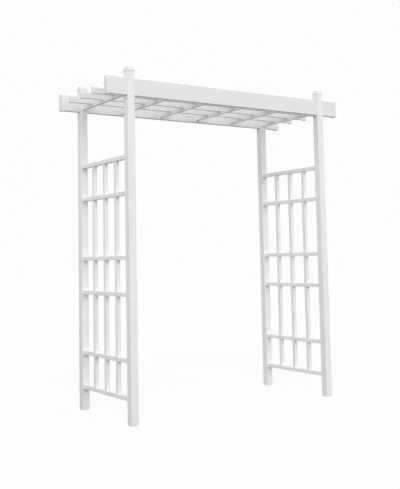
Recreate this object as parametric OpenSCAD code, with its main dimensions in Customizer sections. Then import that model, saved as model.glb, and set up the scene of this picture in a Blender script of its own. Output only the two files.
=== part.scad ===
// Garden arbor of hollow white vinyl extrusions: four capped posts, two slatted
// side panels, a front and a back beam, and a flat roof of rafters and purlins.
// X runs along the beams, Y from front to back and Z up from the ground.

/* [Posts] */
// Outside width of the square posts
post_w = 50.8; // [47:0.1:60]
// Wall thickness of the posts
post_wall = 2.8; // [2:0.1:3.4]
// Radius of the posts' long corners
post_round = 2; // [1:0.1:3]
// Distance between the left and right post centres
span_x = 1575; // [1200:5:1900]
// Distance between the front and back post centres
span_y = 675; // [560:5:900]
// Height of each post above the beams, up to the edge of its cap
post_rise = 45; // [30:1:90]

/* [Post caps] */
// Wall thickness of the post caps
cap_wall = 1.5; // [1.2:0.1:3]
// Height of a cap's straight skirt
cap_skirt = 10; // [6:0.5:20]
// Height of a cap's dome above the skirt
cap_rise = 23.5; // [16:0.5:30]
// Width of the small flat at the very top
cap_flat = 16; // [10:0.5:24]

/* [Beams] */
// Height of the beams' underside above the ground
beam_z = 2023; // [1950:1:2300]
// Thickness of the beams
beam_t = 38.1; // [34:0.1:40]
// Height of the beams
beam_h = 108; // [102:0.5:140]
// Wall thickness of the beams
beam_wall = 2.5; // [1.8:0.1:3.2]
// Distance from a post centre to the outside of the beam's end cap
beam_over = 164.5; // [80:0.5:260]
// Length of a beam end cap along the beam
beam_cap_len = 22; // [12:0.5:35]
// Wall thickness of the beam end caps
beam_cap_wall = 2.7; // [1.8:0.1:4]

/* [Rafters] */
// Thickness of the rafters
rafter_t = 22.2; // [19:0.1:28]
// Height of the rafters
rafter_h = 76.2; // [70:0.1:82]
// Wall thickness of the rafters
rafter_wall = 2; // [1.4:0.1:2.6]
// Height of the rafters' underside above that of the beams
rafter_up = 13; // [10:0.5:18]
// Length of rafter that is held inside each beam
rafter_tenon = 25; // [12:0.5:28]

/* [Purlins] */
// Thickness of the purlins
purlin_t = 22.2; // [18:0.1:30]
// Height of the purlins
purlin_h = 38.1; // [30:0.1:42]
// Wall thickness of the purlins
purlin_wall = 2; // [1.4:0.1:2.6]
// Height of the purlins' underside above that of the beams
purlin_up = 29; // [24:0.5:34]
// Distance from a post centre to the outside of the purlin's end cap
purlin_over = 172.5; // [80:0.5:260]
// Length of a purlin end cap along the purlin
purlin_cap_len = 16; // [8:0.5:30]
// Wall thickness of the purlin end caps
purlin_cap_wall = 1.8; // [1.2:0.1:3]

/* [Side panels] */
// Width of the rails across the panel
rail_w = 31.75; // [30.5:0.05:36]
// Height of the rails
rail_h = 25.4; // [20:0.1:38]
// Wall thickness of the rails
rail_wall = 2; // [1.4:0.1:2.3]
// Height of the lowest rail's centre above the ground
rail_first = 153; // [60:1:220]
// Distance between the centres of two rails of a close pair
rail_close = 227; // [150:1:250]
// Distance between the close pairs, from centre to centre
rail_far = 403; // [300:1:440]
// Length of rail that is held inside each post
rail_tenon = 30; // [16:0.5:36]
// Width of the square slats
slat_w = 25.4; // [18:0.1:26]
// Wall thickness of the slats
slat_wall = 1.8; // [1.2:0.1:2.4]
// Distance between slat centres
slat_pitch = 156; // [90:1:210]

/* [Rail locks] */
// How far a raised lock stands out of the rail's side
lock_out = 1.4; // [0.8:0.1:2]
// Length of a lock's ramp along the rail
lock_len = 9; // [5:0.5:14]
// Height of a lock
lock_h = 12; // [6:0.5:18]

/* [Fit] */
// Gap left around each piece that is slipped in or over another
fit = 0.3; // [0.1:0.05:0.5]
// Radius of the other extrusions' long corners
edge_round = 1.2; // [0.6:0.1:1.6]

/* [Screws] */
// Radius of the screw shanks
screw_r = 2; // [1.5:0.1:2.5]
// Gap between a shank and its pilot hole
pilot_gap = 0.1; // [0.05:0.05:0.3]
// Radius of the pan heads
head_r = 3.8; // [3:0.1:4.4]
// Height of the pan heads
head_h = 2.2; // [1.6:0.1:2.6]
// Bevel around the top of the heads
head_bevel = 1; // [0.4:0.1:1.2]
// Length of each arm of the cross recess, from tip to tip
recess_len = 4; // [3:0.1:4.4]
// Width of the cross recess
recess_w = 0.9; // [0.6:0.1:1.2]
// Depth of the cross recess
recess_depth = 1.2; // [0.8:0.1:1.4]
// Length of a screw's point
tip_len = 5; // [3:0.5:7]
// How far a screw goes on past the wall that it bites
bite_past = 8; // [6:0.5:12]

/* [Hidden] */

// Colours
vinyl = [0.93, 0.93, 0.92];
moulded = [0.95, 0.95, 0.94];
steel = [0.72, 0.73, 0.74];

// Cutters run this far past the faces that they cut
past = 1;
// Segments of a full circle
round_fn = 32;
// Thickness of each ring that a cap's dome is drawn over
skin = 0.01;
// Angle between two of these rings, in degrees
dome_step = 22.5;

// Heights
beam_top = beam_z + beam_h;
lip_z = beam_top + post_rise;
post_len = lip_z + cap_skirt;
rafter_z = beam_z + rafter_up;
rafter_mid = rafter_z + rafter_h / 2;
rafter_top = rafter_z + rafter_h;
purlin_mid = beam_z + purlin_up + purlin_h / 2;
purlin_top = beam_z + purlin_up + purlin_h;

// Places along X and Y
post_x = span_x / 2;
post_y = span_y / 2;
rafter_bays = 5;
rafter_xs = [for (i = [0:rafter_bays]) -post_x + i * span_x / rafter_bays];
purlin_ys = [-span_y / 4, 0, span_y / 4];
slat_ys = [-slat_pitch, 0, slat_pitch];

// Rail heights go up by turns in close pairs and wide steps
rail_zs = [
    rail_first,
    rail_first + rail_close,
    rail_first + rail_close + rail_far,
    rail_first + 2 * rail_close + rail_far,
    rail_first + 2 * rail_close + 2 * rail_far,
    rail_first + 3 * rail_close + 2 * rail_far
];
rail_top = 5;

// Lengths
beam_len = span_x + 2 * (beam_over - beam_cap_wall - fit);
purlin_len = span_x + 2 * (purlin_over - purlin_cap_wall - fit);
rafter_len = span_y - beam_t + 2 * rafter_tenon;
rail_len = span_y - post_w + 2 * rail_tenon;
slat_z0 = rail_zs[0] - rail_h / 2 + rail_wall + fit;
slat_z1 = rail_zs[rail_top] + rail_h / 2 - rail_wall - fit;

// The beam screws sit below and above the end rafters
beam_screw_zs = [
    beam_z + rafter_up / 2,
    (rafter_top + beam_top) / 2
];
beam_gap = (post_w - beam_t) / 2;
beam_screw_len = beam_gap + beam_wall + bite_past;
purlin_screw_len = rafter_top - purlin_top + purlin_wall + bite_past;

// Rectangle with rounded corners, centred
module rounded(w, h, r) {
    square([w - 2 * r, h], center = true);
    square([w, h - 2 * r], center = true);
    for (x = [-1, 1], y = [-1, 1])
        translate([x * (w / 2 - r), y * (h / 2 - r)])
            circle(r, $fn = round_fn);
}

module tube_profile(w, h, wall, r) {
    difference() {
        rounded(w, h, r);
        square([w - 2 * wall, h - 2 * wall], center = true);
    }
}

// Turns an upright shape to lie along X, or along Y
module along_x() {
    rotate([90, 0, 90]) children();
}

module along_y() {
    rotate([90, 0, 0]) children();
}

module tube(len, w, h, wall, r) {
    linear_extrude(height = len, center = true)
        tube_profile(w, h, wall, r);
}

// Solid of a tube's outer shape grown by the fit, for the hole that it slips through
module passage(len, w, h, r) {
    linear_extrude(height = len, center = true)
        rounded(w + 2 * fit, h + 2 * fit, r + fit);
}

module pilot(len) {
    translate([0, 0, -len])
        cylinder(h = len + past, r = screw_r + pilot_gap, $fn = round_fn);
}

// Pan-head screw that points down from the origin, with its head above
module screw(len) {
    difference() {
        rotate_extrude($fn = round_fn)
            polygon([
                [0, -len],
                [screw_r, tip_len - len],
                [screw_r, 0],
                [head_r, 0],
                [head_r, head_h - head_bevel],
                [head_r - head_bevel, head_h],
                [0, head_h]
            ]);
        for (a = [0, 90])
            rotate([0, 0, a])
                translate([0, 0, head_h + past / 2])
                    cube([recess_len, recess_w, 2 * recess_depth + past], center = true);
    }
}

// Screws from behind each post into its beam
module at_beam_screws() {
    for (x = [-1, 1], y = [-1, 1], z = beam_screw_zs)
        translate([x * post_x, y * post_y + post_w / 2, z])
            rotate([-90, 0, 0])
                children();
}

// Screws from the top of the end rafters into the purlins
module at_purlin_screws() {
    for (x = [-1, 1], y = purlin_ys)
        translate([x * post_x, y, rafter_top])
            children();
}

module post(side, depth) {
    inner_y = depth * (post_y - post_w / 2);
    hole_len = 2 * (post_wall + past);
    color(vinyl)
    difference() {
        translate([side * post_x, depth * post_y, post_len / 2])
            tube(post_len, post_w, post_w, post_wall, post_round);
        translate([side * post_x, depth * post_y, beam_z + beam_h / 2])
            along_x() passage(post_w + 2 * past, beam_t, beam_h, edge_round);
        for (z = rail_zs)
            translate([side * post_x, inner_y, z])
                along_y() passage(hole_len, rail_w, rail_h, edge_round);
        translate([side * post_x, inner_y, rafter_mid])
            along_y() passage(hole_len, rafter_t, rafter_h, edge_round);
        at_beam_screws() pilot(post_wall + past);
    }
}

// Straight skirt from a given depth, with a square dome on it that ends in a flat
module cap_solid(w, r, depth, rise) {
    flat_round = cap_flat / 4;
    hull() {
        translate([0, 0, -depth])
            linear_extrude(height = depth + cap_skirt)
                rounded(w, w, r);
        for (a = [dome_step : dome_step : 90]) {
            ring_w = cap_flat + (w - cap_flat) * cos(a);
            ring_round = flat_round + (r - flat_round) * cos(a);
            translate([0, 0, cap_skirt + rise * sin(a) - skin])
                linear_extrude(height = skin)
                    rounded(ring_w, ring_w, ring_round);
        }
    }
}

module post_cap(side, depth) {
    inner_w = post_w + 2 * fit;
    inner_round = post_round + fit;
    color(moulded)
    translate([side * post_x, depth * post_y, lip_z])
        difference() {
            cap_solid(inner_w + 2 * cap_wall, inner_round + cap_wall, 0, cap_rise);
            cap_solid(inner_w, inner_round, past, cap_rise - cap_wall);
        }
}

module beam(depth) {
    inner_y = depth * (post_y - beam_t / 2);
    color(vinyl)
    difference() {
        translate([0, depth * post_y, beam_z + beam_h / 2])
            along_x() tube(beam_len, beam_t, beam_h, beam_wall, edge_round);
        for (x = rafter_xs)
            translate([x, inner_y, rafter_mid])
                along_y()
                    passage(2 * (beam_wall + past), rafter_t, rafter_h, edge_round);
        at_beam_screws() pilot(beam_gap + beam_wall + past);
    }
}

// End cap that slips over a tube along X and ends at the given place
module end_cap(side, len, w, h, wall) {
    out_w = w + 2 * (fit + wall);
    out_h = h + 2 * (fit + wall);
    bevel = wall / 2;
    mirror([side < 0 ? 1 : 0, 0, 0])
    along_x()
        difference() {
            hull() {
                translate([0, 0, -len])
                    linear_extrude(height = len - bevel)
                        rounded(out_w, out_h, edge_round + wall / 2);
                translate([0, 0, -len])
                    linear_extrude(height = len)
                        rounded(out_w - 2 * bevel, out_h - 2 * bevel, edge_round);
            }
            translate([0, 0, -wall - len])
                linear_extrude(height = len)
                    rounded(w + 2 * fit, h + 2 * fit, edge_round + fit);
        }
}

module beam_cap(side, depth) {
    color(moulded)
    translate([side * (post_x + beam_over), depth * post_y, beam_z + beam_h / 2])
        end_cap(side, beam_cap_len, beam_t, beam_h, beam_cap_wall);
}

module rafter(i) {
    color(vinyl)
    difference() {
        translate([rafter_xs[i], 0, rafter_mid])
            along_y() tube(rafter_len, rafter_t, rafter_h, rafter_wall, edge_round);
        for (y = purlin_ys)
            translate([rafter_xs[i], y, purlin_mid])
                along_x()
                    passage(rafter_t + 2 * past, purlin_t, purlin_h, edge_round);
        at_purlin_screws() pilot(rafter_wall + past);
    }
}

module purlin(j) {
    color(vinyl)
    difference() {
        translate([0, purlin_ys[j], purlin_mid])
            along_x() tube(purlin_len, purlin_t, purlin_h, purlin_wall, edge_round);
        at_purlin_screws() pilot(rafter_top - purlin_top + purlin_wall + past);
    }
}

module purlin_cap(side, j) {
    color(moulded)
    translate([side * (post_x + purlin_over), purlin_ys[j], purlin_mid])
        end_cap(side, purlin_cap_len, purlin_t, purlin_h, purlin_cap_wall);
}

// Raised ramps on both sides of a rail's ends, which catch behind the post's wall
module rail_locks() {
    for (x = [0, 1], y = [0, 1])
        mirror([x, 0, 0])
        mirror([0, y, 0])
            translate([rail_w / 2, post_y - post_w / 2 + post_wall + fit, 0])
                linear_extrude(height = lock_h, center = true)
                    polygon([
                        [-rail_wall / 2, 0],
                        [lock_out, 0],
                        [0, lock_len],
                        [-rail_wall / 2, lock_len]
                    ]);
}

module rail(side, i) {
    top_hole = i < rail_top ? [1] : [];
    bottom_hole = i > 0 ? [-1] : [];
    color(vinyl)
    translate([side * post_x, 0, rail_zs[i]])
        difference() {
            union() {
                along_y() tube(rail_len, rail_w, rail_h, rail_wall, edge_round);
                rail_locks();
            }
            for (y = slat_ys, face = concat(top_hole, bottom_hole))
                translate([0, y, face * rail_h / 2])
                    passage(2 * (rail_wall + past), slat_w, slat_w, edge_round);
        }
}

module slat(side, j) {
    color(vinyl)
    translate([side * post_x, slat_ys[j], (slat_z0 + slat_z1) / 2])
        tube(slat_z1 - slat_z0, slat_w, slat_w, slat_wall, edge_round);
}

module beam_screws() {
    color(steel)
    at_beam_screws() screw(beam_screw_len);
}

module purlin_screws() {
    color(steel)
    at_purlin_screws() screw(purlin_screw_len);
}

post(-1, -1);  // post_front_left
post(1, -1);  // post_front_right
post(-1, 1);  // post_back_left
post(1, 1);  // post_back_right
post_cap(-1, -1);  // post_cap_front_left
post_cap(1, -1);  // post_cap_front_right
post_cap(-1, 1);  // post_cap_back_left
post_cap(1, 1);  // post_cap_back_right
beam(-1);  // beam_front
beam(1);  // beam_back
beam_cap(-1, -1);  // beam_cap_front_left
beam_cap(1, -1);  // beam_cap_front_right
beam_cap(-1, 1);  // beam_cap_back_left
beam_cap(1, 1);  // beam_cap_back_right
rafter(0);  // rafter_1
rafter(1);  // rafter_2
rafter(2);  // rafter_3
rafter(3);  // rafter_4
rafter(4);  // rafter_5
rafter(5);  // rafter_6
purlin(0);  // purlin_front
purlin(1);  // purlin_middle
purlin(2);  // purlin_back
purlin_cap(-1, 0);  // purlin_cap_front_left
purlin_cap(1, 0);  // purlin_cap_front_right
purlin_cap(-1, 1);  // purlin_cap_middle_left
purlin_cap(1, 1);  // purlin_cap_middle_right
purlin_cap(-1, 2);  // purlin_cap_back_left
purlin_cap(1, 2);  // purlin_cap_back_right
rail(-1, 0);  // rail_left_1
rail(-1, 1);  // rail_left_2
rail(-1, 2);  // rail_left_3
rail(-1, 3);  // rail_left_4
rail(-1, 4);  // rail_left_5
rail(-1, 5);  // rail_left_6
rail(1, 0);  // rail_right_1
rail(1, 1);  // rail_right_2
rail(1, 2);  // rail_right_3
rail(1, 3);  // rail_right_4
rail(1, 4);  // rail_right_5
rail(1, 5);  // rail_right_6
slat(-1, 0);  // slat_left_front
slat(-1, 1);  // slat_left_middle
slat(-1, 2);  // slat_left_back
slat(1, 0);  // slat_right_front
slat(1, 1);  // slat_right_middle
slat(1, 2);  // slat_right_back
beam_screws();
purlin_screws();
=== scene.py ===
import math

import bmesh
import bpy
from mathutils import Matrix, Vector


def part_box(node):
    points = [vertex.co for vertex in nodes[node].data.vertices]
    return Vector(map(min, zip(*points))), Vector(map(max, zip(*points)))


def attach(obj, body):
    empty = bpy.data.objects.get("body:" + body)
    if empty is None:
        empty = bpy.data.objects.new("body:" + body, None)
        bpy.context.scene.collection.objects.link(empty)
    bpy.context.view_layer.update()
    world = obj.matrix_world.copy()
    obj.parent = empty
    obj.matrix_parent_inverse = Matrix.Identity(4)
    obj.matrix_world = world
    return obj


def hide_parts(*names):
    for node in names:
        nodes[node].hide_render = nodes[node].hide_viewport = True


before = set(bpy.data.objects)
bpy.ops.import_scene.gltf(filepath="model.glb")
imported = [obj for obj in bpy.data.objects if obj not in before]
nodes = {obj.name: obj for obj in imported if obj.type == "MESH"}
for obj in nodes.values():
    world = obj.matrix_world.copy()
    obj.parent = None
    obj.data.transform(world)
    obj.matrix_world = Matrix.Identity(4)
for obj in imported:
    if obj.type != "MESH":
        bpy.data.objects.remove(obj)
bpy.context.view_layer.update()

print("frame loaded with", len(nodes), "pieces")


# ---- camera, set to the photograph's viewpoint; metres, radians, and pixels of the
# 400 x 489 picture
cameraSettings = {
    "place": (-3.19186, -4.70401, 1.01071),
    "yaw": -0.59018,
    "pitch": 0.08913,
    "roll": -0.02056,
    "focalPixels": 803.660,
    "axisAboveMiddle": 60.0,
    "pictureHeight": 489.0,
    "sensorWidth": 0.036,
    "farLimit": 60.0,
}


def makeCamera(s):
    yaw, pitch, roll = s["yaw"], s["pitch"], s["roll"]
    ahead = math.cos(pitch)
    forward = Vector((-math.sin(yaw) * ahead, math.cos(yaw) * ahead, math.sin(pitch)))
    level = Vector((math.cos(yaw), math.sin(yaw), 0.0))
    upright = level.cross(forward)
    right = math.cos(roll) * level + math.sin(roll) * upright
    up = -math.sin(roll) * level + math.cos(roll) * upright
    data = bpy.data.cameras.new("camera")
    data.sensor_width = 1000 * s["sensorWidth"]
    # the sensor's width goes with the picture's long side, which is its height
    data.lens = s["focalPixels"] * data.sensor_width / s["pictureHeight"]
    data.shift_y = -s["axisAboveMiddle"] / s["pictureHeight"]
    data.clip_end = s["farLimit"]
    camera = bpy.data.objects.new("camera", data)
    turn = Matrix((right, up, -forward)).transposed().to_4x4()
    camera.matrix_world = Matrix.Translation(Vector(s["place"])) @ turn
    bpy.context.scene.collection.objects.link(camera)
    bpy.context.scene.camera = camera


makeCamera(cameraSettings)
print("camera placed")


# ---- small helpers for colours and shader nodes
fullWhite = (1.0, 1.0, 1.0, 1.0)


# turns an sRGB hex colour to the linear one that the shaders take
def hexColour(code):
    parts = [int(code[i:i + 2], 16) / 255 for i in (1, 3, 5)]
    linear = [p / 12.92 if p <= 0.04045 else ((p + 0.055) / 1.055) ** 2.4 for p in parts]
    return (*linear, 1.0)


# A socket that shares its name with others is given by its number. A Mix of colours has its
# amount at 0 and the colours at 6 and 7, and gives the result at 2.
def addNode(tree, kind, settings=None, links=None):
    node = tree.nodes.new(kind)
    for name, value in (settings or {}).items():
        if isinstance(name, int) or name in node.inputs:
            node.inputs[name].default_value = value
        else:
            setattr(node, name, value)
    for name, source in (links or {}).items():
        tree.links.new(source, node.inputs[name])
    return node


def startMaterial(name):
    material = bpy.data.materials.new(name)
    material.use_nodes = True
    tree = material.node_tree
    tree.nodes.clear()
    return material, tree


def finishMaterial(tree, surface):
    addNode(tree, "ShaderNodeOutputMaterial", links={"Surface": surface})


# 1 where the camera sees the surface, straight or in a reflection or through glass
def seenByCamera(tree):
    ray = addNode(tree, "ShaderNodeLightPath").outputs
    straight = addNode(tree, "ShaderNodeMath", {"operation": "MAXIMUM"},
                       {0: ray["Is Camera Ray"], 1: ray["Is Glossy Ray"]}).outputs["Value"]
    return addNode(tree, "ShaderNodeMath", {"operation": "MAXIMUM"},
                   {0: straight, 1: ray["Is Transmission Ray"]}).outputs["Value"]


def dress(names, material):
    for name in names:
        piece = nodes[name]
        piece.data.materials.clear()
        piece.data.materials.append(material)


# ---- rigid PVC, co-extruded: a hard white skin with a soft sheen, faint lines drawn along
# its length by the die, and walls that wave a little as they cooled; metres
extrudedPvc = {
    # by the axis that a piece lies along; along X, for the beams and purlins, it is a shade greyer
    # as painted shade, and along Y it is a little lighter
    "white": {"X": "#ECECEC", "Y": "#F7F7F7", "Z": "#F4F4F4"},
    "shade": {"X": "#E6E6E6", "Y": "#F0F0F0", "Z": "#EDEDED"},
    "patchSize": 0.35,
    "patchDetail": 3.0,
    "patchRoughness": 0.55,
    "streakShare": 0.45,
    "toneSpread": (0.35, 0.65),
    "dieLineSpacing": 0.014,      # real ones stand 1 to 4 mm apart, too fine to show, so coarser
    "dieLineLength": 1.2,
    "dieLineDepth": 0.00006,
    "dieLineDetail": 4.0,
    "dieLineRoughness": 0.6,
    "waveLength": 0.11,
    "waveDepth": 0.0004,
    "grainSize": 0.003,           # the real grain is under 0.1 mm, too fine to show, so coarser
    "grainDepth": 0.00001,
    "softDetail": 1.0,            # for the waves and the grain
    "roughness": (0.50, 0.66),
    "ior": 1.53,
}


def makeExtrudedPvc(name, along, s):
    material, tree = startMaterial(name)
    place = addNode(tree, "ShaderNodeTexCoord").outputs["Object"]
    stretch = [1.0, 1.0, 1.0]
    stretch["XYZ".index(along)] = s["dieLineSpacing"] / s["dieLineLength"]
    lengthwise = addNode(tree, "ShaderNodeMapping", {"Scale": stretch},
                         {"Vector": place}).outputs["Vector"]
    patches = addNode(tree, "ShaderNodeTexNoise",
                      {"Scale": 1 / s["patchSize"], "Detail": s["patchDetail"],
                       "Roughness": s["patchRoughness"]}, {"Vector": place}).outputs["Fac"]
    dieLines = addNode(tree, "ShaderNodeTexNoise",
                       {"Scale": 1 / s["dieLineSpacing"], "Detail": s["dieLineDetail"],
                        "Roughness": s["dieLineRoughness"]}, {"Vector": lengthwise}).outputs["Fac"]
    waves = addNode(tree, "ShaderNodeTexNoise",
                    {"Scale": 1 / s["waveLength"], "Detail": s["softDetail"]},
                    {"Vector": place}).outputs["Fac"]
    grain = addNode(tree, "ShaderNodeTexNoise",
                    {"Scale": 1 / s["grainSize"], "Detail": s["softDetail"]},
                    {"Vector": place}).outputs["Fac"]
    blotches = addNode(tree, "ShaderNodeMix", {"Factor": s["streakShare"]},
                       {"A": patches, "B": dieLines}).outputs["Result"]
    spread = addNode(tree, "ShaderNodeMapRange",
                     {"From Min": s["toneSpread"][0], "From Max": s["toneSpread"][1]},
                     {"Value": blotches}).outputs["Result"]
    shade, white = hexColour(s["shade"][along]), hexColour(s["white"][along])
    tone = addNode(tree, "ShaderNodeMix", {"data_type": "RGBA", 6: shade, 7: white},
                   {0: spread}).outputs[2]
    sheen = addNode(tree, "ShaderNodeMapRange",
                    {"To Min": s["roughness"][0], "To Max": s["roughness"][1]},
                    {"Value": dieLines}).outputs["Result"]
    waved = addNode(tree, "ShaderNodeBump", {"Distance": s["waveDepth"]},
                    {"Height": waves}).outputs["Normal"]
    lined = addNode(tree, "ShaderNodeBump", {"Distance": s["dieLineDepth"]},
                    {"Height": dieLines, "Normal": waved}).outputs["Normal"]
    grained = addNode(tree, "ShaderNodeBump", {"Distance": s["grainDepth"]},
                      {"Height": grain, "Normal": lined}).outputs["Normal"]
    shader = addNode(tree, "ShaderNodeBsdfPrincipled", {"IOR": s["ior"]},
                     {"Base Color": tone, "Roughness": sheen, "Normal": grained})
    finishMaterial(tree, shader.outputs["BSDF"])
    return material


uprightPvc = makeExtrudedPvc("whitePvcExtrudedUpright", "Z", extrudedPvc)
# the copy along X is a shade greyer: painted shade on the beams and purlins
beamPvcPaintedShade = makeExtrudedPvc("whitePvcExtrudedAlongBeamsPaintedShade", "X", extrudedPvc)
crossPvc = makeExtrudedPvc("whitePvcExtrudedAcross", "Y", extrudedPvc)
dress([n for n in nodes if n.startswith(("post_front", "post_back", "slat_"))], uprightPvc)
dress(["beam_front", "beam_back", "purlin_front", "purlin_middle", "purlin_back"], beamPvcPaintedShade)
dress([n for n in nodes if n.startswith(("rafter_", "rail_"))], crossPvc)
print("extrusions dressed in white PVC")


# ---- zinc-plated steel, barrel plated: the screw heads, bright grey with a fine crystal grain
zincSteel = {
    "light": "#C9CBCC",
    "dark": "#A9ACAF",
    "grainSize": 0.0015,          # real crystals are under 0.1 mm, too fine to show, so coarser
    "roughness": (0.28, 0.42),
}


def makeZincSteel(s):
    material, tree = startMaterial("zincPlatedSteel")
    place = addNode(tree, "ShaderNodeTexCoord").outputs["Object"]
    crystals = addNode(tree, "ShaderNodeTexVoronoi", {"Scale": 1 / s["grainSize"]},
                       {"Vector": place}).outputs["Color"]
    amount = addNode(tree, "ShaderNodeRGBToBW", links={"Color": crystals}).outputs["Val"]
    tone = addNode(tree, "ShaderNodeMix",
                   {"data_type": "RGBA", 6: hexColour(s["dark"]), 7: hexColour(s["light"])},
                   {0: amount}).outputs[2]
    dull = addNode(tree, "ShaderNodeMapRange",
                   {"To Min": s["roughness"][0], "To Max": s["roughness"][1]},
                   {"Value": amount}).outputs["Result"]
    shader = addNode(tree, "ShaderNodeBsdfPrincipled", {"Metallic": 1.0},
                     {"Base Color": tone, "Roughness": dull})
    finishMaterial(tree, shader.outputs["BSDF"])
    return material


dress(["beam_screws", "purlin_screws"], makeZincSteel(zincSteel))
print("screws dressed in zinc-plated steel")


# ---- rigid PVC, injection moulded: the caps, more even in tone than the extrusions, with a
# matt skin from the fine grain of a spark-eroded mould
mouldedPvc = {
    "white": "#EFEFEF",
    "shade": "#EBEBEB",
    "flowSize": 0.03,
    "flowDetail": 2.0,
    "flowTwist": 0.6,
    "grainSize": 0.002,           # a mould's grain is about 0.1 mm, too fine to show, so coarser
    "grainDepth": 0.00002,
    "grainDetail": 1.0,
    "roughness": (0.54, 0.62),
    "ior": 1.53,
}


def makeMouldedPvc(s):
    material, tree = startMaterial("whitePvcMoulded")
    place = addNode(tree, "ShaderNodeTexCoord").outputs["Object"]
    flow = addNode(tree, "ShaderNodeTexNoise",
                   {"Scale": 1 / s["flowSize"], "Detail": s["flowDetail"],
                    "Distortion": s["flowTwist"]}, {"Vector": place}).outputs["Fac"]
    grain = addNode(tree, "ShaderNodeTexNoise",
                    {"Scale": 1 / s["grainSize"], "Detail": s["grainDetail"]},
                    {"Vector": place}).outputs["Fac"]
    tone = addNode(tree, "ShaderNodeMix",
                   {"data_type": "RGBA", 6: hexColour(s["shade"]), 7: hexColour(s["white"])},
                   {0: flow}).outputs[2]
    sheen = addNode(tree, "ShaderNodeMapRange",
                    {"To Min": s["roughness"][0], "To Max": s["roughness"][1]},
                    {"Value": grain}).outputs["Result"]
    grained = addNode(tree, "ShaderNodeBump", {"Distance": s["grainDepth"]},
                      {"Height": grain}).outputs["Normal"]
    shader = addNode(tree, "ShaderNodeBsdfPrincipled", {"IOR": s["ior"]},
                     {"Base Color": tone, "Roughness": sheen, "Normal": grained})
    finishMaterial(tree, shader.outputs["BSDF"])
    return material


capPvc = makeMouldedPvc(mouldedPvc)


# ---- modelling helpers
facing = 0.9          # a face whose normal has this much of a direction faces that way
levelWithin = 0.0001  # metres; points that differ less in height are level


def addBlock(name, low, high):
    bpy.ops.object.select_all(action="DESELECT")
    bpy.ops.mesh.primitive_cube_add(size=1.0, location=(low + high) / 2, scale=high - low)
    block = bpy.context.object
    block.name = block.data.name = name
    bpy.ops.object.transform_apply(location=True, rotation=True, scale=True)
    return block


def selectFaces(piece, wanted):
    bpy.ops.mesh.select_mode(type="FACE")
    bpy.ops.mesh.select_all(action="DESELECT")
    mesh = bmesh.from_edit_mesh(piece.data)
    for face in mesh.faces:
        face.select_set(wanted(face))
    bmesh.update_edit_mesh(piece.data)


def selectEdges(piece, wanted):
    bpy.ops.mesh.select_mode(type="EDGE")
    bpy.ops.mesh.select_all(action="DESELECT")
    mesh = bmesh.from_edit_mesh(piece.data)
    for edge in mesh.edges:
        edge.select_set(wanted(edge))
    bmesh.update_edit_mesh(piece.data)


def roundEdges(piece, width, segments, sharperThan=60.0):
    bevel = piece.modifiers.new("roundedEdges", "BEVEL")
    bevel.width = width
    bevel.segments = segments
    bevel.limit_method = "ANGLE"
    bevel.angle_limit = math.radians(sharperThan)
    bpy.ops.object.modifier_apply(modifier=bevel.name)


def finishCap(piece, node):
    piece.data.materials.append(capPvc)
    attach(piece, "root")
    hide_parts(node)


def copyCap(piece, name, node, sample, turned=False):
    twin = bpy.data.objects.new(name, piece.data.copy())
    bpy.context.scene.collection.objects.link(twin)
    low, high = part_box(sample)
    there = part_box(node)
    middle, target = (low + high) / 2, (there[0] + there[1]) / 2
    turn = Matrix.Rotation(math.pi, 4, "Z") if turned else Matrix.Identity(4)
    twin.data.transform(Matrix.Translation(target) @ turn @ Matrix.Translation(-middle))
    return twin


# ---- post caps: a short skirt over the post's end, then a square dome with a small flat top
postCaps = {
    "wall": 0.0015,
    "skirt": 0.0100,
    "flatShare": 0.28,            # the flat's width as a share of the cap's
    "domeSteps": 6,
    "hollowRise": 0.0190,
    "hollowTop": 0.62,
    "hollowGap": 0.0003,          # between the post's end and the hollow's slope
    "cornerRound": 0.0030,
    "cornerSegments": 3,
    "lipRound": 0.0004,
    "lipSegments": 2,
    "smoothUnder": 25.0,
}


def makePostCap(s, node):
    low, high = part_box(node)
    middle = (low + high) / 2
    shoulder = low.z + s["skirt"]
    cap = addBlock("postCapFrontLeft", low, Vector((high.x, high.y, shoulder)))
    bpy.ops.object.mode_set(mode="EDIT")
    selectFaces(cap, lambda face: face.normal.z > facing)
    height, share = 0.0, 1.0
    for step in range(1, s["domeSteps"] + 1):
        angle = math.pi / 2 * step / s["domeSteps"]
        nextHeight = (high.z - shoulder) * math.sin(angle)
        nextShare = s["flatShare"] + (1 - s["flatShare"]) * math.cos(angle)
        rise, shrink = nextHeight - height, nextShare / share
        bpy.ops.mesh.extrude_region_move(TRANSFORM_OT_translate={"value": (0, 0, rise)})
        bpy.ops.transform.resize(value=(shrink, shrink, 1), center_override=middle)
        height, share = nextHeight, nextShare
    selectEdges(cap, lambda edge: abs(edge.verts[0].co.z - edge.verts[1].co.z) > levelWithin)
    bpy.ops.mesh.bevel(offset=s["cornerRound"], segments=s["cornerSegments"], affect="EDGES")
    selectFaces(cap, lambda face: face.normal.z < -facing)
    bpy.ops.mesh.inset(thickness=s["wall"], depth=0)
    sleeve = s["skirt"] + s["hollowGap"]
    bpy.ops.mesh.extrude_region_move(TRANSFORM_OT_translate={"value": (0, 0, sleeve)})
    bpy.ops.mesh.extrude_region_move(TRANSFORM_OT_translate={"value": (0, 0, s["hollowRise"])})
    bpy.ops.transform.resize(value=(s["hollowTop"], s["hollowTop"], 1), center_override=middle)
    bpy.ops.object.mode_set(mode="OBJECT")
    roundEdges(cap, s["lipRound"], s["lipSegments"])
    bpy.ops.object.shade_smooth_by_angle(angle=math.radians(s["smoothUnder"]))
    return cap


cornerNames = [(f"{depth}_{side}", depth.capitalize() + side.capitalize())
               for depth in ("front", "back") for side in ("left", "right")]
firstCap = makePostCap(postCaps, "post_cap_front_left")
for corner, label in cornerNames:
    node = f"post_cap_{corner}"
    if corner == "front_left":
        cap = firstCap
    else:
        cap = copyCap(firstCap, f"postCap{label}", node, "post_cap_front_left")
    finishCap(cap, node)
print("post caps made")


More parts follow.
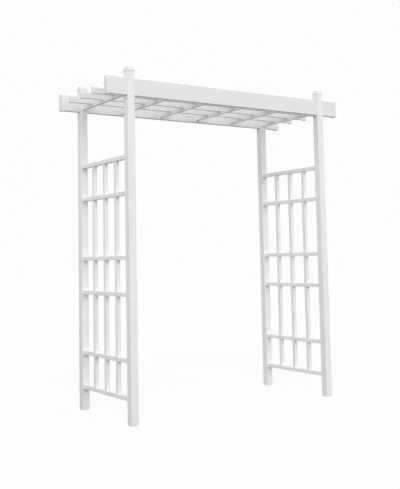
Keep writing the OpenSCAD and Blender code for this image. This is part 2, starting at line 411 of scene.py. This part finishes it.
# ---- end caps of the beams and purlins: a moulded cup pushed over the end, its rim and its
# face's edges rounded
endCaps = {
    "beam": {"wall": 0.0027, "edgeRound": 0.0022, "edgeSegments": 3, "smoothUnder": 40.0,
             "rows": ("front", "back")},
    "purlin": {"wall": 0.0018, "edgeRound": 0.0014, "edgeSegments": 3, "smoothUnder": 40.0,
               "rows": ("front", "middle", "back")},
}


def makeEndCap(s, member, node):
    low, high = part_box(node)
    cap = addBlock(f"{member}CapFrontLeft", low, high)
    bpy.ops.object.mode_set(mode="EDIT")
    selectFaces(cap, lambda face: face.normal.x > facing)
    bpy.ops.mesh.inset(thickness=s["wall"], depth=0)
    hollow = high.x - low.x - s["wall"]
    bpy.ops.mesh.extrude_region_move(TRANSFORM_OT_translate={"value": (-hollow, 0, 0)})
    bpy.ops.object.mode_set(mode="OBJECT")
    roundEdges(cap, s["edgeRound"], s["edgeSegments"])
    bpy.ops.object.shade_smooth_by_angle(angle=math.radians(s["smoothUnder"]))
    return cap


for member, s in endCaps.items():
    sample = f"{member}_cap_front_left"
    firstCap = makeEndCap(s, member, sample)
    for row in s["rows"]:
        for side in ("left", "right"):
            node = f"{member}_cap_{row}_{side}"
            name = f"{member}Cap{row.capitalize()}{side.capitalize()}"
            if node == sample:
                cap = firstCap
            else:
                cap = copyCap(firstCap, name, node, sample, turned=side == "right")
            finishCap(cap, node)
print("end caps made")


# ---- floor: matte white board; seen by the camera it stays white and only a faint shadow shows
floorSettings = {
    "size": 40.0,
    "colour": "#999999",
    "dimColour": "#202020",       # a dull patch at the left throws less light on that side's feet
    "dimMiddle": (-1.25, 0.45),
    "dimReach": 1.6,
    "seenWhite": 0.88,
    "shadowShare": 0.12,
}


def makeFloor(s):
    bpy.ops.object.select_all(action="DESELECT")
    bpy.ops.mesh.primitive_plane_add(size=s["size"], location=(0, 0, 0))
    floor = bpy.context.object
    floor.name = "floor"
    material, tree = startMaterial("matteWhiteBoard")
    place = addNode(tree, "ShaderNodeTexCoord").outputs["Object"]
    x, y = s["dimMiddle"]
    reach = s["dimReach"]
    around = addNode(tree, "ShaderNodeMapping",
                     {"vector_type": "TEXTURE", "Location": (x, y, 0), "Scale": (reach, reach, 1)},
                     {"Vector": place}).outputs["Vector"]
    dimness = addNode(tree, "ShaderNodeTexGradient", {"gradient_type": "SPHERICAL"},
                      {"Vector": around}).outputs["Fac"]
    tone = addNode(tree, "ShaderNodeMix",
                   {"data_type": "RGBA", 6: hexColour(s["colour"]), 7: hexColour(s["dimColour"])},
                   {0: dimness}).outputs[2]
    board = addNode(tree, "ShaderNodeBsdfDiffuse", links={"Color": tone}).outputs["BSDF"]
    glow = addNode(tree, "ShaderNodeEmission",
                   {"Color": fullWhite, "Strength": s["seenWhite"]}).outputs["Emission"]
    grey = s["shadowShare"]
    faint = addNode(tree, "ShaderNodeBsdfDiffuse", {"Color": (grey, grey, grey, 1)}).outputs["BSDF"]
    bright = addNode(tree, "ShaderNodeAddShader", links={0: glow, 1: faint}).outputs["Shader"]
    mixed = addNode(tree, "ShaderNodeMixShader",
                    links={"Fac": seenByCamera(tree), 1: board, 2: bright})
    finishMaterial(tree, mixed.outputs["Shader"])
    material.cycles.emission_sampling = "NONE"  # it is seen, and lights nothing
    floor.data.materials.append(material)


makeFloor(floorSettings)
print("floor laid")


# ---- light: a white studio, brighter round the sides than overhead, with two soft lamps at the
# front, a weak one at the left side and a low one behind
lightSettings = {
    "horizon": 1.06,
    "zenith": 0.14,
    "backdrop": 0.98,
    "lamps": {  # where each shines from, its strength, and its softness in degrees
        "frontLeft": ((-0.42, -0.76, 0.60), 1.06, 35.0),
        "frontRight": ((0.42, -0.76, 0.60), 0.60, 35.0),
        "side": ((-0.85, -0.10, 0.42), 0.38, 60.0),
        "back": ((0.55, 0.80, 0.15), 0.95, 80.0),
    },
}


def addSun(name, aim, strength, softness):
    data = bpy.data.lights.new(name, "SUN")
    data.energy = strength
    data.angle = math.radians(softness)
    lamp = bpy.data.objects.new(name, data)
    lamp.rotation_mode = "QUATERNION"
    lamp.rotation_quaternion = Vector(aim).to_track_quat("Z", "Y")
    bpy.context.scene.collection.objects.link(lamp)


def makeLight(s):
    world = bpy.data.worlds.new("studio")
    bpy.context.scene.world = world
    world.use_nodes = True
    world.cycles.sampling_method = "NONE"
    tree = world.node_tree
    tree.nodes.clear()
    direction = addNode(tree, "ShaderNodeTexCoord").outputs["Generated"]
    height = addNode(tree, "ShaderNodeSeparateXYZ", links={"Vector": direction}).outputs["Z"]
    brightness = addNode(tree, "ShaderNodeMapRange",
                         {"To Min": s["horizon"], "To Max": s["zenith"]},
                         {"Value": height}).outputs["Result"]
    around = addNode(tree, "ShaderNodeBackground", {"Color": fullWhite},
                     {"Strength": brightness}).outputs["Background"]
    behind = addNode(tree, "ShaderNodeBackground",
                     {"Color": fullWhite, "Strength": s["backdrop"]}).outputs["Background"]
    mixed = addNode(tree, "ShaderNodeMixShader",
                    links={"Fac": seenByCamera(tree), 1: around, 2: behind})
    addNode(tree, "ShaderNodeOutputWorld", links={"Surface": mixed.outputs["Shader"]})
    for name, (aim, strength, softness) in s["lamps"].items():
        addSun(name, aim, strength, softness)


makeLight(lightSettings)
bpy.context.scene.view_settings.view_transform = "Standard"
print("studio lit")
